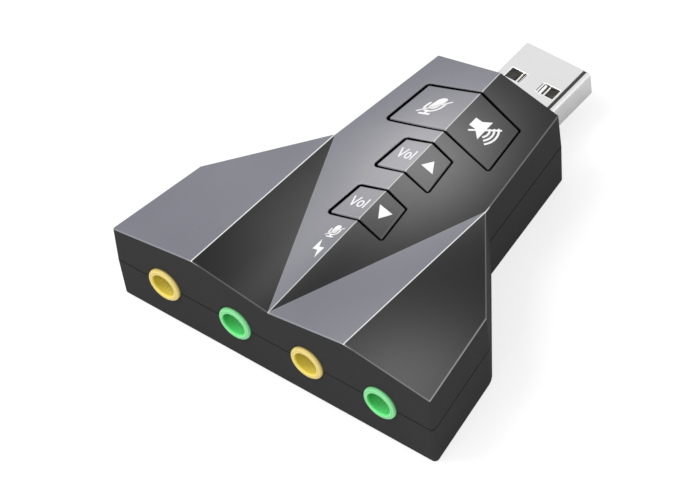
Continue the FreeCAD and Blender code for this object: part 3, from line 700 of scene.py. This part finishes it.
# The roof's greys: the darker is painted shade on facets facing right, the paler painted light on facets
# facing left; each brightens to its painted sheen.
CASE_DARK = (0.012, 0.012, 0.012)
CASE_DARK_PAINTED_SHEEN = (0.195, 0.195, 0.195)
CASE_LIGHT = (0.208, 0.209, 0.244)
CASE_LIGHT_PAINTED_SHEEN = (0.440, 0.435, 0.460)
case_lacquer = lacquered("case_lacquer", CASE_DARK, CASE_DARK_PAINTED_SHEEN, CASE_LIGHT, CASE_LIGHT_PAINTED_SHEEN, 0.42)
bare_plastic = grained("bare_plastic", CASE_BARE, CASE_BARE_GRAIN, GRAIN_SIZE, 0.6, Specular_IOR_Level=0.02)
# Painted shade: the walls of the key gaps and of the keys, and the faces under the roof, are painted near
# black where shade falls.
GAP_SHADE_BLACK = (0.003, 0.003, 0.003)
GAP_SHADE_GRAIN = (0.006, 0.006, 0.006)
gap_shade_black = grained("gap_shade_black", GAP_SHADE_BLACK, GAP_SHADE_GRAIN, GRAIN_SIZE, 0.7, Specular_IOR_Level=0.02)
coat(upper_case, CASE_RIM, case_lacquer, gap_shade_black, bare_plastic)
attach(upper_case, "case")
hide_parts("top_cover")


# Lower case. It is a plain tray in the same dark plastic, with a rounded bottom edge, and
# it carries the board on four posts.
def dress(material, *nodes):
    """Give CAD nodes a finish."""
    for node in nodes:
        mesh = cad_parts[node].data
        mesh.materials.clear()
        mesh.materials.append(material)


dress(bare_plastic, "bottom_cover")

# Keys. Three caps, moulded in the plastic of the case and lacquered like it, carry on the
# facets of the roof. The wide one rocks on two pivots in line with the ridge, and the other
# two slide down.
KEY_RIM = 0.24
KEY_CORNER_R = 0.16
KEY_DEPTH = 2.2
# Painted highlight and painted shade on the keys' rims.
KEY_RIM_HIGHLIGHT = 0.12
KEY_RIM_SHADE = 0.9
KEY_RIDERS = {"mute_key": "mute_rocker", "volume_up_key": "volume_up_button",
              "volume_down_key": "volume_down_button"}
# The keys carry the same painted light, shade and sheen as the roof.
key_lacquer = lacquered("key_lacquer", CASE_DARK, CASE_DARK_PAINTED_SHEEN, CASE_LIGHT, CASE_LIGHT_PAINTED_SHEEN, 0.38)
for node, plan in KEY_PLANS.items():
    key_loops = [divided(chevron(*plan, KEY_GAPS / 2, KEY_CORNER_R, KEY_CORNER_R), KEY_STEP)]
    key = piece_from(node + "_cap", faceted_solid(
        key_loops, rim=KEY_RIM, step=KEY_STEP, under=lambda x, y: roof_height(x, y) - KEY_DEPTH))
    mark_painted_light(key, key_loops, 0, [KEY_RIM_HIGHLIGHT], [KEY_RIM_SHADE], KEY_RIM)
    smooth(key)
    coat(key, KEY_RIM, key_lacquer, gap_shade_black)
    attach(key, KEY_RIDERS[node])
    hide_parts(node)

# Signs. They are white ink printed on the caps and the case: a struck-out microphone and
# loudspeaker, a word and an arrow for the volume, and a microphone and a bolt over the lamps.
INK_PROUD = 0.02
INK_DEPTH = 0.12
INK_LINE = 0.28
INK_STEP = 0.8
STRIKE_CLEAR = 0.12
WORD_LINE = 0.23
white_ink, wire, shader, place = finish("white_ink")
mottle = wire.noise(place, 0.3, 3.0)
feed(shader, Base_Color=wire.mix(mottle, (0.93, 0.93, 0.93), (0.99, 0.99, 0.99)),
     Roughness=0.45 + (mottle - 0.5) * 0.2, Specular_IOR_Level=0.3)


def stroke(line, width=INK_LINE, turns=6):
    """The outline of a line of ink, with round ends."""
    line = np.array(line, float)
    half = width / 2
    run = np.gradient(line, axis=0)
    angles = np.arctan2(run[:, 1], run[:, 0])
    beside = half * np.column_stack([np.sin(angles), -np.cos(angles)])
    turn = np.linspace(-math.pi / 2, math.pi / 2, turns)[1:-1]
    start, end = [half * np.column_stack([np.cos(angle + turn), np.sin(angle + turn)])
                  for angle in (angles[0], angles[-1])]
    return np.concatenate([line + beside, line[-1] + end, (line - beside)[::-1], line[0] - start])


def arc(x, y, radius, start_degrees, end_degrees, steps=16, tall=1.0):
    """A line along an arc, which may be stretched upwards."""
    angles = np.radians(np.linspace(start_degrees, end_degrees, steps))
    return np.column_stack([x + radius * np.cos(angles), y + tall * radius * np.sin(angles)])


def inked(loops, holes=0):
    """A layer of ink on the roof: its plan is the loops, less the last few of them."""
    return faceted_solid(loops, holes, lift=INK_PROUD, step=INK_STEP, creased=False,
                         under=lambda x, y: roof_height(x, y) - INK_DEPTH)


def printed(name, body, shapes, origin=(0.0, 0.0), right=(1.0, 0.0), up=(0.0, 1.0), strike=None):
    """Ink on the roof: shapes drawn along two directions from an origin.

    A strike is a line through them, with a bare edge on both sides.
    """
    turn = np.array([right, up])
    loops = [shape @ turn + origin for shape in shapes]
    if strike is None:
        piece = piece_from(name, inked(loops))
    else:
        widths = (INK_LINE + 2 * STRIKE_CLEAR, INK_LINE)
        highlight_and_uninked, line = [stroke(strike, width) @ turn + origin for width in widths]
        piece = piece_from(name, inked(loops + [highlight_and_uninked], 1), inked([line]))
    piece.data.materials.append(white_ink)
    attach(piece, body)


microphone = [stroke([(0.0, 2.05), (0.0, 3.5)], 1.44, turns=16),
              stroke([(-1.2, 2.75), *arc(0.0, 1.95, 1.2, 180, 360), (1.2, 2.75)], 0.36),
              stroke([(0.0, 0.85), (0.0, 0.1)], 0.40), stroke([(-0.70, 0.05), (0.75, 0.05)], 0.40)]
strike = [(-1.44, 0.5), (1.62, 3.5)]
printed("microphone_sign", "mute_rocker", microphone,
        (-5.08, 42.52), (0.964, 0.266), (0.247, 0.969), strike)
printed("microphone_lamp_sign", "case", microphone,
        (-1.6, 16.0), (0.57, 0.16), (0.01, 0.6), strike)
loudspeaker = [np.array([(2.15, 44.15), (3.3, 44.08), (4.66, 42.75),
                         (4.62, 46.57), (3.34, 45.72), (2.18, 45.81)]),
               stroke([(2.68, 43.36), (6.42, 46.16)], 0.30)]
printed("loudspeaker_sign", "mute_rocker", loudspeaker)
word = [[(0.0, 1.86), (0.49, 0.1)], [(0.49, 0.1), (1.05, 1.88)],
        arc(1.6, 0.74, 0.35, 85, 275, tall=1.72), arc(1.6, 0.74, 0.35, -95, 95, tall=1.72),
        [(2.36, 0.12), (2.4, 1.88)]]
word = [stroke(line, WORD_LINE) for line in word]
printed("volume_up_word", "volume_up_button", word, (-3.27, 33.55), (1.0, 0.125))
printed("volume_down_word", "volume_down_button", word, (-3.30, 22.41), (1.0, 0.158))
printed("volume_up_arrow", "volume_up_button",
        [np.array([(1.13, 34.06), (3.45, 33.68), (2.27, 35.69)])])
printed("volume_down_arrow", "volume_down_button",
        [np.array([(0.81, 24.76), (2.2, 22.58), (3.34, 24.41)])])
bolt = np.array([(-2.16, 15.14), (-2.25, 12.97), (-1.46, 13.09),
                 (-0.93, 11.67), (-0.85, 13.92), (-1.61, 13.72)])
printed("power_lamp_sign", "case", [bolt])

wave_tree = bpy.data.node_groups.new("sound_waves", "GeometryNodeTree")
wave_tree.interface.new_socket("Geometry", in_out="OUTPUT", socket_type="NodeSocketGeometry")
WAVES = {"Waves": ("NodeSocketInt", 3), "First Radius": ("NodeSocketFloat", 1.38),
         "Step": ("NodeSocketFloat", 0.655), "Half Angle": ("NodeSocketFloat", math.radians(42)),
         "Line Width": ("NodeSocketFloat", 0.34), "Depth": ("NodeSocketFloat", INK_PROUD + INK_DEPTH),
         "Ink": ("NodeSocketMaterial", white_ink)}
for title, (kind, value) in WAVES.items():
    wave_tree.interface.new_socket(title, in_out="INPUT", socket_type=kind)
nodes = Wire(wave_tree)
given = {title: nodes.add("NodeGroupInput", None, None, index) for index, title in enumerate(WAVES)}
radius = given["First Radius"] + nodes.add("GeometryNodeInputIndex") * given["Step"]
curve = nodes.add("GeometryNodeCurveArc", None, {
    "Resolution": 24, "Radius": 1.0,
    "Start Angle": 0.0 - given["Half Angle"], "Sweep Angle": 2.0 * given["Half Angle"]})
spread = nodes.add("GeometryNodePoints", None, {"Count": given["Waves"]})
spread = nodes.add("GeometryNodeInstanceOnPoints", None,
                   {"Points": spread, "Instance": curve, "Scale": radius})
spread = nodes.add("GeometryNodeRealizeInstances", None, {"Geometry": spread})
spread = nodes.add("GeometryNodeSetCurveNormal", {"mode": "Z_UP"}, {"Curve": spread})
section = nodes.add("GeometryNodeCurvePrimitiveQuadrilateral", None,
                    {"Width": given["Line Width"], "Height": given["Depth"]})
spread = nodes.add("GeometryNodeCurveToMesh", None,
                   {"Curve": spread, "Profile Curve": section, "Fill Caps": True})
spread = nodes.add("GeometryNodeRealizeInstances", None, {"Geometry": spread})
spread = nodes.add("GeometryNodeSetMaterial", None, {"Geometry": spread, "Material": given["Ink"]})
nodes.add("NodeGroupOutput", None, {"Geometry": spread})
waves = bpy.data.objects.new("loudspeaker_waves", bpy.data.meshes.new("loudspeaker_waves"))
scene.collection.objects.link(waves)
repeat = waves.modifiers.new("waves", "NODES")
repeat.node_group = wave_tree
for socket in wave_tree.interface.items_tree:
    if socket.in_out == "INPUT":
        repeat[socket.identifier] = WAVES[socket.name][1]
settle(waves)
WAVE_MIDDLE = (3.96, 44.43)
drawn = np.array([corner.co for corner in waves.data.vertices])
drawn[:, :2] += WAVE_MIDDLE
drawn[:, 2] += roof_height(drawn[:, 0], drawn[:, 1]) + (INK_PROUD - INK_DEPTH) / 2
drawn[:, 1] -= MIDDLE_Y
waves.data.vertices.foreach_set("co", (drawn / 1000).astype(np.float32).ravel())
waves.data.update()
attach(waves, "mute_rocker")


# USB plug. A thin steel sheet is folded to a box, with its seam along the top right edge and
# two spring windows; a moulded tongue inside carries four gold-plated contacts.
PLUG_TOP = 7.35
PLUG_SEAM = (4.74, 5.34)
PLUG_SEAM_DEPTH = 0.10
PLUG_SEAM_Y = (50.0, 70.0)
PLUG_EDGE_R = 0.06
WINDOW_X = (1.65, 4.45)
WINDOW_Y = (60.55, 62.65)


def merged_copy(node, name, same=2e-6, flat_degrees=0.5):
    """A new object from a CAD node, with its loose triangles joined into whole faces."""
    whole = bmesh.new()
    whole.from_mesh(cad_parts[node].data)
    bmesh.ops.remove_doubles(whole, verts=whole.verts[:], dist=same)
    bmesh.ops.dissolve_limit(whole, angle_limit=math.radians(flat_degrees),
                             verts=whole.verts[:], edges=whole.edges[:])
    mesh = bpy.data.meshes.new(name)
    whole.to_mesh(mesh)
    whole.free()
    piece = bpy.data.objects.new(name, mesh)
    scene.collection.objects.link(piece)
    return piece


def ease_edges(piece, width, least_degrees=40, segments=2):
    """Round the piece's sharp edges by a small width, in millimetres."""
    ease = piece.modifiers.new("ease", "BEVEL")
    ease.width = width / 1000
    ease.segments = segments
    ease.limit_method = "ANGLE"
    ease.angle_limit = math.radians(least_degrees)
    settle(piece)


def block(x0, x1, y0, y1, z0, z1):
    """A closed box."""
    return along_y([(x0, z0), (x1, z0), (x1, z1), (x0, z1)], y0, y1)


plug_shell = merged_copy("usb_plug_shell", "plug_shell")
carve(plug_shell, block(*PLUG_SEAM, *PLUG_SEAM_Y, PLUG_TOP - PLUG_SEAM_DEPTH, PLUG_TOP + PLUG_SEAM_DEPTH))
ease_edges(plug_shell, PLUG_EDGE_R)
smooth(plug_shell, 40)


# Painted highlights round the windows and painted shade in the seam and slot lines: their colours and where
# they lie.
EDGE_HIGHLIGHT_WHITE = (0.98, 0.98, 0.98)
EDGE_HIGHLIGHT_WIDTH = 0.13
HIGHLIGHT_BAND_X = (1.21, 1.59)
HIGHLIGHT_BAND_PAST = 0.06
TOP_SKIN = 0.2
SEAM_SHADE_BLACK = (0.03, 0.03, 0.03)
SEAM_EASED = 0.04
SEAM_SKIN = 0.3
TAB_SLOT_SHADES = (-1.72, 1.34, 1.72)
TAB_SLOT_SHADE_HALF = 0.08
TAB_SLOT_SHADE_SHORT = 0.15


def past_band(value, band):
    """How far a value lies past the ends of a band; it is below 0 inside."""
    return abs(value - sum(band) / 2) - (band[1] - band[0]) / 2


def steel(name, bright, dull, roughness):
    """Rolled steel with faint lines along the sheet, painted highlights round the windows, and painted
    shade in the seam groove and in slot lines on the top.
    """
    material, wire, shader, place = finish(name)
    x, y, z = axes(wire, place)
    drawn_out = wire.add("ShaderNodeMapping", None, {"Vector": place, "Scale": (1.0, 0.06, 1.0)})
    lines = wire.noise(drawn_out, 0.12, 3.0)
    marks = wire.noise(place, 2.5, 4.0)
    past_y = past_band(y, WINDOW_Y)
    on_top = z > PLUG_TOP - TOP_SKIN
    # Painted highlights: white bands round the spring windows and beside the second window.
    edge_highlight = wire.math("MAXIMUM", past_band(abs(x), WINDOW_X), past_y) < EDGE_HIGHLIGHT_WIDTH
    highlight_band = (past_band(x, HIGHLIGHT_BAND_X) < 0.0) * (past_y < HIGHLIGHT_BAND_PAST)
    edge_highlight = wire.math("MAXIMUM", edge_highlight, highlight_band) * on_top
    # Painted shade: black in the carved seam groove and in thin slot lines on the top.
    seam_shade = (past_band(x, PLUG_SEAM) < -0.02) * (z < PLUG_TOP - SEAM_EASED) * (z > PLUG_TOP - SEAM_SKIN)
    for slot_x in TAB_SLOT_SHADES:
        slot_shade = (abs(x - slot_x) < TAB_SLOT_SHADE_HALF) * (past_y < -TAB_SLOT_SHADE_SHORT) * on_top
        seam_shade = wire.math("MAXIMUM", seam_shade, slot_shade)
    shade = wire.mix(lines * 0.5 + marks * 0.5, dull, bright)
    shade = wire.mix(edge_highlight, shade, EDGE_HIGHLIGHT_WHITE)
    shade = wire.mix(seam_shade, shade, SEAM_SHADE_BLACK)
    feed(shader, Base_Color=shade, Metallic=1.0 - seam_shade, Normal=wire.relief(lines, 0.03, 0.01),
         Roughness=roughness + (lines - 0.5) * 0.08 + (marks - 0.5) * 0.10 + seam_shade * 0.3)
    return material


plug_steel = steel("plug_steel", (0.77, 0.77, 0.77), (0.72, 0.72, 0.72), 0.30)
plug_shell.data.materials.append(plug_steel)
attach(plug_shell, "case")
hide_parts("usb_plug_shell")

TAB_SHEET = 0.14
LIP_X = WINDOW_X[0] - 0.05
LIP_Z = PLUG_TOP - 0.55
LIP_LONG = 0.55
LIP_HIGH = 0.5
LIP_TURN = 1.3
LIP_SLANT = 0.02
LIP_CLEAR = 0.1
STRIP = [(0.72, 0.42), (0.80, 0.34), (0.96, 0.34), (1.04, 0.42), (1.04, 0.75), (0.72, 0.75)]
STRIP_TUCK = 0.3
tabs = []
for side in (-1, 1):
    lip = [(side * (LIP_X + LIP_LONG * math.sin(turn)), LIP_Z + LIP_HIGH * math.cos(turn))
           for turn in np.linspace(0.0, LIP_TURN, 9)]
    lip += [(x - side * LIP_SLANT, z - TAB_SHEET) for x, z in reversed(lip)]
    strip = [(side * (WINDOW_X[0] + x), PLUG_TOP - z) for x, z in STRIP]
    for section, past in ((lip, -LIP_CLEAR), (strip, STRIP_TUCK)):
        section = section if side < 0 else section[::-1]
        tabs.append(along_y(section, WINDOW_Y[0] - past, WINDOW_Y[1] + past))
spring_tabs = piece_from("plug_spring_tabs", *tabs)
smooth(spring_tabs)
spring_tabs.data.materials.append(plug_steel)
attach(spring_tabs, "case")

tongue_plastic = grained("tongue_plastic", (0.40, 0.40, 0.40), (0.48, 0.48, 0.48), 0.3, 0.5)
gold_plate = grained("gold_plate", (0.52, 0.42, 0.22), (0.70, 0.58, 0.32), 0.8, 0.28, Metallic=1.0)
dress(tongue_plastic, "usb_plug_insulator")
dress(gold_plate, "usb_contacts")

# Jacks. Each is a moulded housing on the board whose round nose comes through the tail wall:
# yellow for a microphone, green for headphones. Three tinned springs grip the plug.
NOSE_TIP = -0.7
NOSE_R = 2.85
MOUTH_R = 2.18
MOUTH_ROUND = 0.32
MOUTH_DEPTH = 2.4
MOUTH_AHEAD = 0.5
BORE_R = 1.80
MOUTH = [(0.0, MOUTH_DEPTH), (BORE_R, MOUTH_DEPTH)]
MOUTH += [(MOUTH_R - MOUTH_ROUND * math.cos(turn), MOUTH_ROUND * (1 - math.sin(turn)))
          for turn in np.linspace(0.0, 0.97 * math.pi / 2, 8)]
MOUTH += [(MOUTH_R, -0.01), (MOUTH_R, -MOUTH_AHEAD), (0.0, -MOUTH_AHEAD)]


def turned(profile, x, z, front_y, steps=64):
    """A closed shell turned about an axis along Y, from radii and depths behind the front."""
    ring = np.arange(steps) * 2 * math.pi / steps
    corners, rows, faces = [], [], []
    for radius, depth in profile:
        count = 1 if radius == 0 else steps
        rows.append(range(len(corners), len(corners) + count))
        corners += [(x + radius * math.cos(angle), front_y + depth, z + radius * math.sin(angle))
                    for angle in ring[:count]]
    for low, high in zip(rows, rows[1:]):
        for a in range(steps):
            b = (a + 1) % steps
            face = [low[a % len(low)], low[b % len(low)], high[b % len(high)], high[a % len(high)]]
            faces.append(tuple(dict.fromkeys(face)))
    return np.array(corners), faces


BORE_EDGE_R = 2.13
BORE_EDGE_RATE = 8.0
BORE_SHADE = 0.25
BORE_SHADE_RATE = 0.5
BORE_LIT_RATE = 0.36
RING_PITCH = 0.5
RING_SHARE = 0.24
RING_PALE = (0.94, 0.95, 0.90)
WALL_PAINTED_SHADE = 0.8
WALL_PAINTED_SHADE_Y = -0.42
WALL_PAINTED_SHADE_RATE = 2.6


def jack_plastic(name, ring, bore_shaded, lit):
    """Glossy coloured plastic with fine turned rings on its nose, painted pale as highlights.

    Inside the bore it has painted shade that grows with depth and towards the top, and painted
    light towards the bottom; it has painted shade where the nose meets the wall.
    """
    material, wire, shader, place = finish(name)
    _, y, z = axes(wire, place)
    lumps = wire.noise(place, 0.35, 3.0)
    reach = wire.add("ShaderNodeAttribute", {"attribute_name": "reach"}, output="Fac")
    outside = y < CASE_WALL
    inside = wire.math("MULTIPLY", BORE_EDGE_R - reach, BORE_EDGE_RATE, clamped=True)
    # Painted shade inside the bore that grows with depth, and painted light towards its bottom.
    depth = wire.math("MULTIPLY", y - NOSE_TIP, BORE_SHADE_RATE, clamped=True)
    low = wire.math("MULTIPLY_ADD", JACK_Z - z, BORE_LIT_RATE, BORE_LIT_RATE, clamped=True)
    # Painted shade on the nose where it meets the wall.
    painted_shade = wire.math("MULTIPLY", y - WALL_PAINTED_SHADE_Y, WALL_PAINTED_SHADE_RATE, clamped=True)
    painted_shade = painted_shade * (reach > NOSE_R - 0.1) * outside
    # Turned rings, painted pale as highlights; one falls on the outer edge rounding.
    rings = wire.math("COSINE", (reach + y - NOSE_TIP - MOUTH_R) * (2 * math.pi / RING_PITCH))
    rings = wire.math("MAXIMUM", rings * (1.0 - inside) * outside, 0.0)
    shade = wire.mix(inside, ring, wire.mix(low, bore_shaded, lit))
    shade = wire.mix(rings * RING_SHARE, shade, RING_PALE)
    shade = wire.scaled(shade, (0.95 + lumps * 0.1) * (1.0 - inside * depth * BORE_SHADE))
    shade = wire.scaled(shade, 1.0 - painted_shade * WALL_PAINTED_SHADE)
    feed(shader, Base_Color=shade, Normal=wire.relief(lumps, 0.05, 0.02),
         Roughness=0.26 + (lumps - 0.5) * 0.15, Specular_IOR_Level=0.22)
    return material


yellow_plastic = jack_plastic(
    "yellow_plastic", ring=(0.74, 0.57, 0.14), bore_shaded=(0.56, 0.435, 0.020), lit=(0.90, 0.73, 0.11))
green_plastic = jack_plastic(
    "green_plastic", ring=(0.17, 0.68, 0.25), bore_shaded=(0.001, 0.30, 0.025), lit=(0.13, 0.86, 0.22))
spring_plate = grained("spring_plate", (0.60, 0.58, 0.54), (0.74, 0.72, 0.68), 0.6, 0.30, Metallic=1.0)
yellow = (yellow_plastic, "yellow_plastic")
green = (green_plastic, "green_plastic")
JACKS = {"mic_jack_left": yellow, "phone_jack_left": green,
         "mic_jack_right": yellow, "phone_jack_right": green}
for (node, (plastic, slot)), x in zip(JACKS.items(), JACK_XS):
    jack = merged_copy(node, node + "_housing")
    carve(jack, turned(MOUTH, x, JACK_Z, NOSE_TIP))
    spots = np.array([corner.co for corner in jack.data.vertices]) * 1000
    reach = np.hypot(spots[:, 0] - x, spots[:, 2] - JACK_Z)
    attribute = jack.data.attributes.new("reach", "FLOAT", "POINT")
    attribute.data.foreach_set("value", reach.astype(np.float32))
    smooth(jack, 40)
    jack.data.materials.append(plastic)
    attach(jack, "case")
    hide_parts(node)
    dress(spring_plate, node + "_springs")

# Circuit board. Glass laminate under green lacquer, held on the posts, with an audio chip on
# tinned leads, a clock crystal, four capacitors in aluminium cans and two rows of chip parts.
board_laminate = grained("board_laminate", (0.008, 0.060, 0.022), (0.014, 0.095, 0.034), 1.2, 0.35)
chip_plastic = grained("chip_plastic", (0.010, 0.010, 0.011), (0.020, 0.020, 0.022), 0.2, 0.6)
tin_plate = grained("tin_plate", (0.62, 0.61, 0.58), (0.78, 0.77, 0.74), 0.5, 0.33, Metallic=1.0)
can_aluminium = grained("can_aluminium", (0.70, 0.70, 0.71), (0.82, 0.82, 0.83), 0.7, 0.30, Metallic=1.0)
tan_ceramic = grained("tan_ceramic", (0.38, 0.25, 0.13), (0.50, 0.35, 0.20), 0.2, 0.55)
dress(board_laminate, "main_board")
dress(chip_plastic, "audio_chip", "capacitor_bases", "chip_resistors")
dress(tin_plate, "audio_chip_leads", "clock_crystal")
dress(can_aluminium, "capacitor_cans")
dress(tan_ceramic, "chip_capacitors")

# Push switches. Four black square bases soldered in by tinned terminals, each with a round
# plunger that a key's foot presses.
switch_plastic = grained("switch_plastic", (0.014, 0.014, 0.014), (0.026, 0.026, 0.026), 0.25, 0.5)
for switch in ("mic_mute", "speaker_mute", "volume_up", "volume_down"):
    dress(switch_plastic, switch + "_switch", switch + "_plunger")
dress(tin_plate, "switch_terminals")

# Lamps. Two small resin lamps on the board, and a clear acrylic guide that takes their light
# up to the signs in the roof.
lamp_resin = grained("lamp_resin", (0.72, 0.70, 0.56), (0.82, 0.80, 0.68), 0.4, 0.25)
clear_acrylic = grained("clear_acrylic", (0.92, 0.94, 0.95), (0.97, 0.98, 0.98), 0.9, 0.06,
                        bump_share=0.02, Transmission_Weight=1.0, IOR=1.49)
dress(lamp_resin, "power_led", "mute_led")
dress(clear_acrylic, "light_guide")
